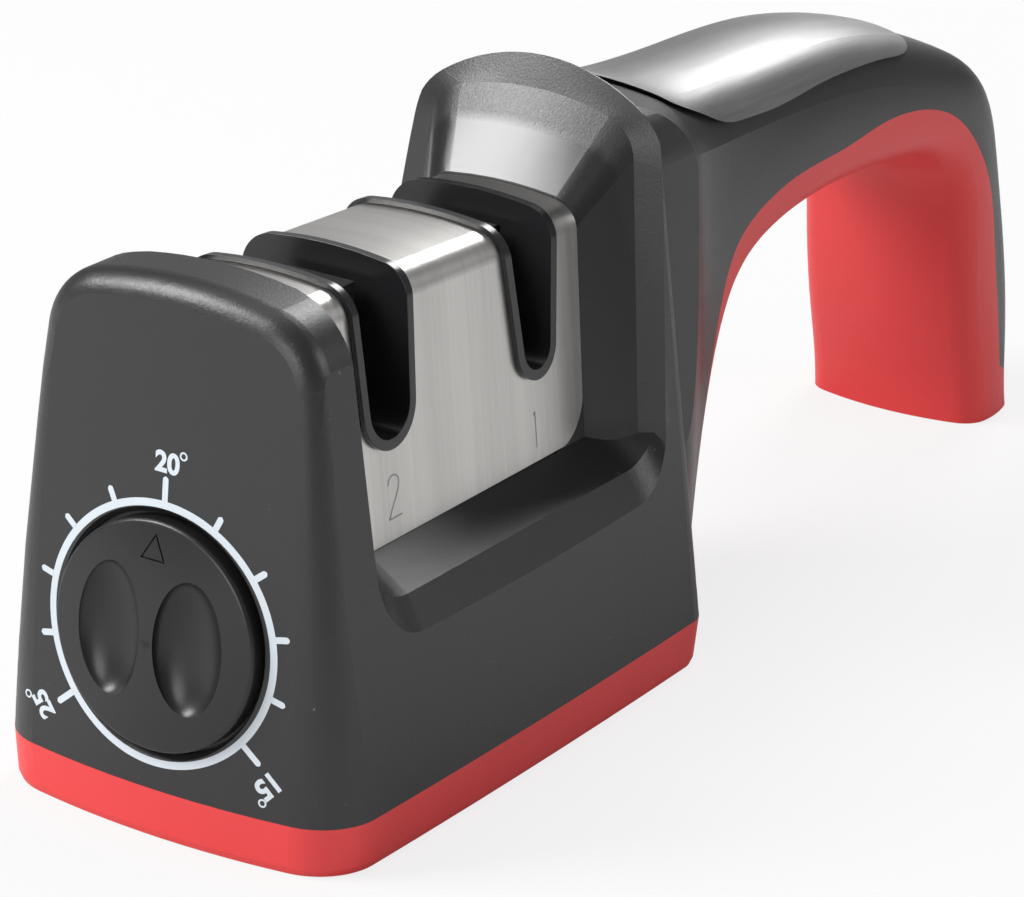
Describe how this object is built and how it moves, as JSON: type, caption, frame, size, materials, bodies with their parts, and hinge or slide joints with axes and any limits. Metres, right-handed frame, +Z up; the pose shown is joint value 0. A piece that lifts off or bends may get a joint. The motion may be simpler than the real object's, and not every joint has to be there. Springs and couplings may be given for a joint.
{
  "type": "knife sharpener",
  "caption": "Hand-held pull-through knife sharpener with coarse and fine slots, a dial that sets the angle, and an arched grip.",
  "frame": {"origin": "centre of the bounding box's footprint, at table height", "axes": "+X from the dial towards the grip's free leg, +Y across the body, +Z up"},
  "size_m": [0.2118, 0.055, 0.082],
  "materials": {
    "black_body": "fine spark-eroded grain, satin",
    "red_body": "smooth satin",
    "brushed_plate": "brushed along its length",
    "brushed_cover": "brushed over the crown",
    "black_trim": "smooth, glossy",
    "black_guide": "smooth, dull",
    "black_knob": "satin",
    "white_moving": "unpainted acetal",
    "hardware": "zinc plated",
    "ceramic_rod": "fine ceramic",
    "diamond_rod": "coated with diamond grit",
    "foot_rubber": "soft, dull"
  },
  "bodies": {
    "housing": {"upper_housing": "black_body", "base_tray": "red_body", "handle_liner": "red_body", "handle_plate": "brushed_plate", "handle_foot_pad": "foot_rubber", "steel_cover": "brushed_cover", "slot_trim_fine": "black_trim", "slot_trim_coarse": "black_trim", "blade_guide_fine": "black_guide", "blade_guide_coarse": "black_guide", "module_body": "black_guide", "module_base_plate": "black_guide", "detent_ball": "hardware", "detent_spring": "hardware", "pivot_pins": "hardware", "module_screws": "hardware", "base_screws": "hardware", "handle_screws": "hardware", "rubber_feet": "foot_rubber"},
    "knob": {"angle_knob": "black_knob", "cam_drum": "white_moving", "drum_washer": "hardware", "knob_screw": "hardware"},
    "bar_a": {"slider_bar_a": "white_moving"},
    "bar_b": {"slider_bar_b": "white_moving"},
    "fine_arm_a": {"arm_fine_a": "white_moving", "rod_fine_a": "ceramic_rod"},
    "fine_arm_b": {"arm_fine_b": "white_moving", "rod_fine_b": "ceramic_rod"},
    "coarse_arm_a": {"arm_coarse_a": "white_moving", "rod_coarse_a": "diamond_rod"},
    "coarse_arm_b": {"arm_coarse_b": "white_moving", "rod_coarse_b": "diamond_rod"}
  },
  "joints": [
    {"name": "knob_turn", "type": "hinge", "parent": "housing", "child": "knob", "pos_m": [-0.10286, 0, 0.02739], "axis": [-0.9984, 0, 0.0567], "range_deg": [-130.7, 130.7]},
    {"name": "bar_a_slide", "type": "slide", "parent": "housing", "child": "bar_a", "axis": [1, 0, 0], "range_m": [-0.00118, 0.00118]},
    {"name": "bar_b_slide", "type": "slide", "parent": "housing", "child": "bar_b", "axis": [1, 0, 0], "range_m": [-0.00118, 0.00118]},
    {"name": "fine_arm_a_swing", "type": "hinge", "parent": "housing", "child": "fine_arm_a", "pos_m": [-0.06982, 0, 0.0535], "axis": [0, 1, 0], "range_deg": [-5, 5]},
    {"name": "fine_arm_b_swing", "type": "hinge", "parent": "housing", "child": "fine_arm_b", "pos_m": [-0.06982, 0, 0.0535], "axis": [0, 1, 0], "range_deg": [-5, 5]},
    {"name": "coarse_arm_a_swing", "type": "hinge", "parent": "housing", "child": "coarse_arm_a", "pos_m": [-0.03652, 0, 0.0535], "axis": [0, 1, 0], "range_deg": [-5, 5]},
    {"name": "coarse_arm_b_swing", "type": "hinge", "parent": "housing", "child": "coarse_arm_b", "pos_m": [-0.03652, 0, 0.0535], "axis": [0, 1, 0], "range_deg": [-5, 5]}
  ],
  "couplings": [
    {"joint": "bar_a_slide", "follows": "knob_turn", "m_per_rad": 0.00051645},
    {"joint": "bar_b_slide", "follows": "knob_turn", "m_per_rad": -0.00051645},
    {"joint": "fine_arm_a_swing", "follows": "knob_turn", "ratio": -0.038256},
    {"joint": "fine_arm_b_swing", "follows": "knob_turn", "ratio": 0.038256},
    {"joint": "coarse_arm_a_swing", "follows": "knob_turn", "ratio": -0.038256},
    {"joint": "coarse_arm_b_swing", "follows": "knob_turn", "ratio": 0.038256}
  ]
}
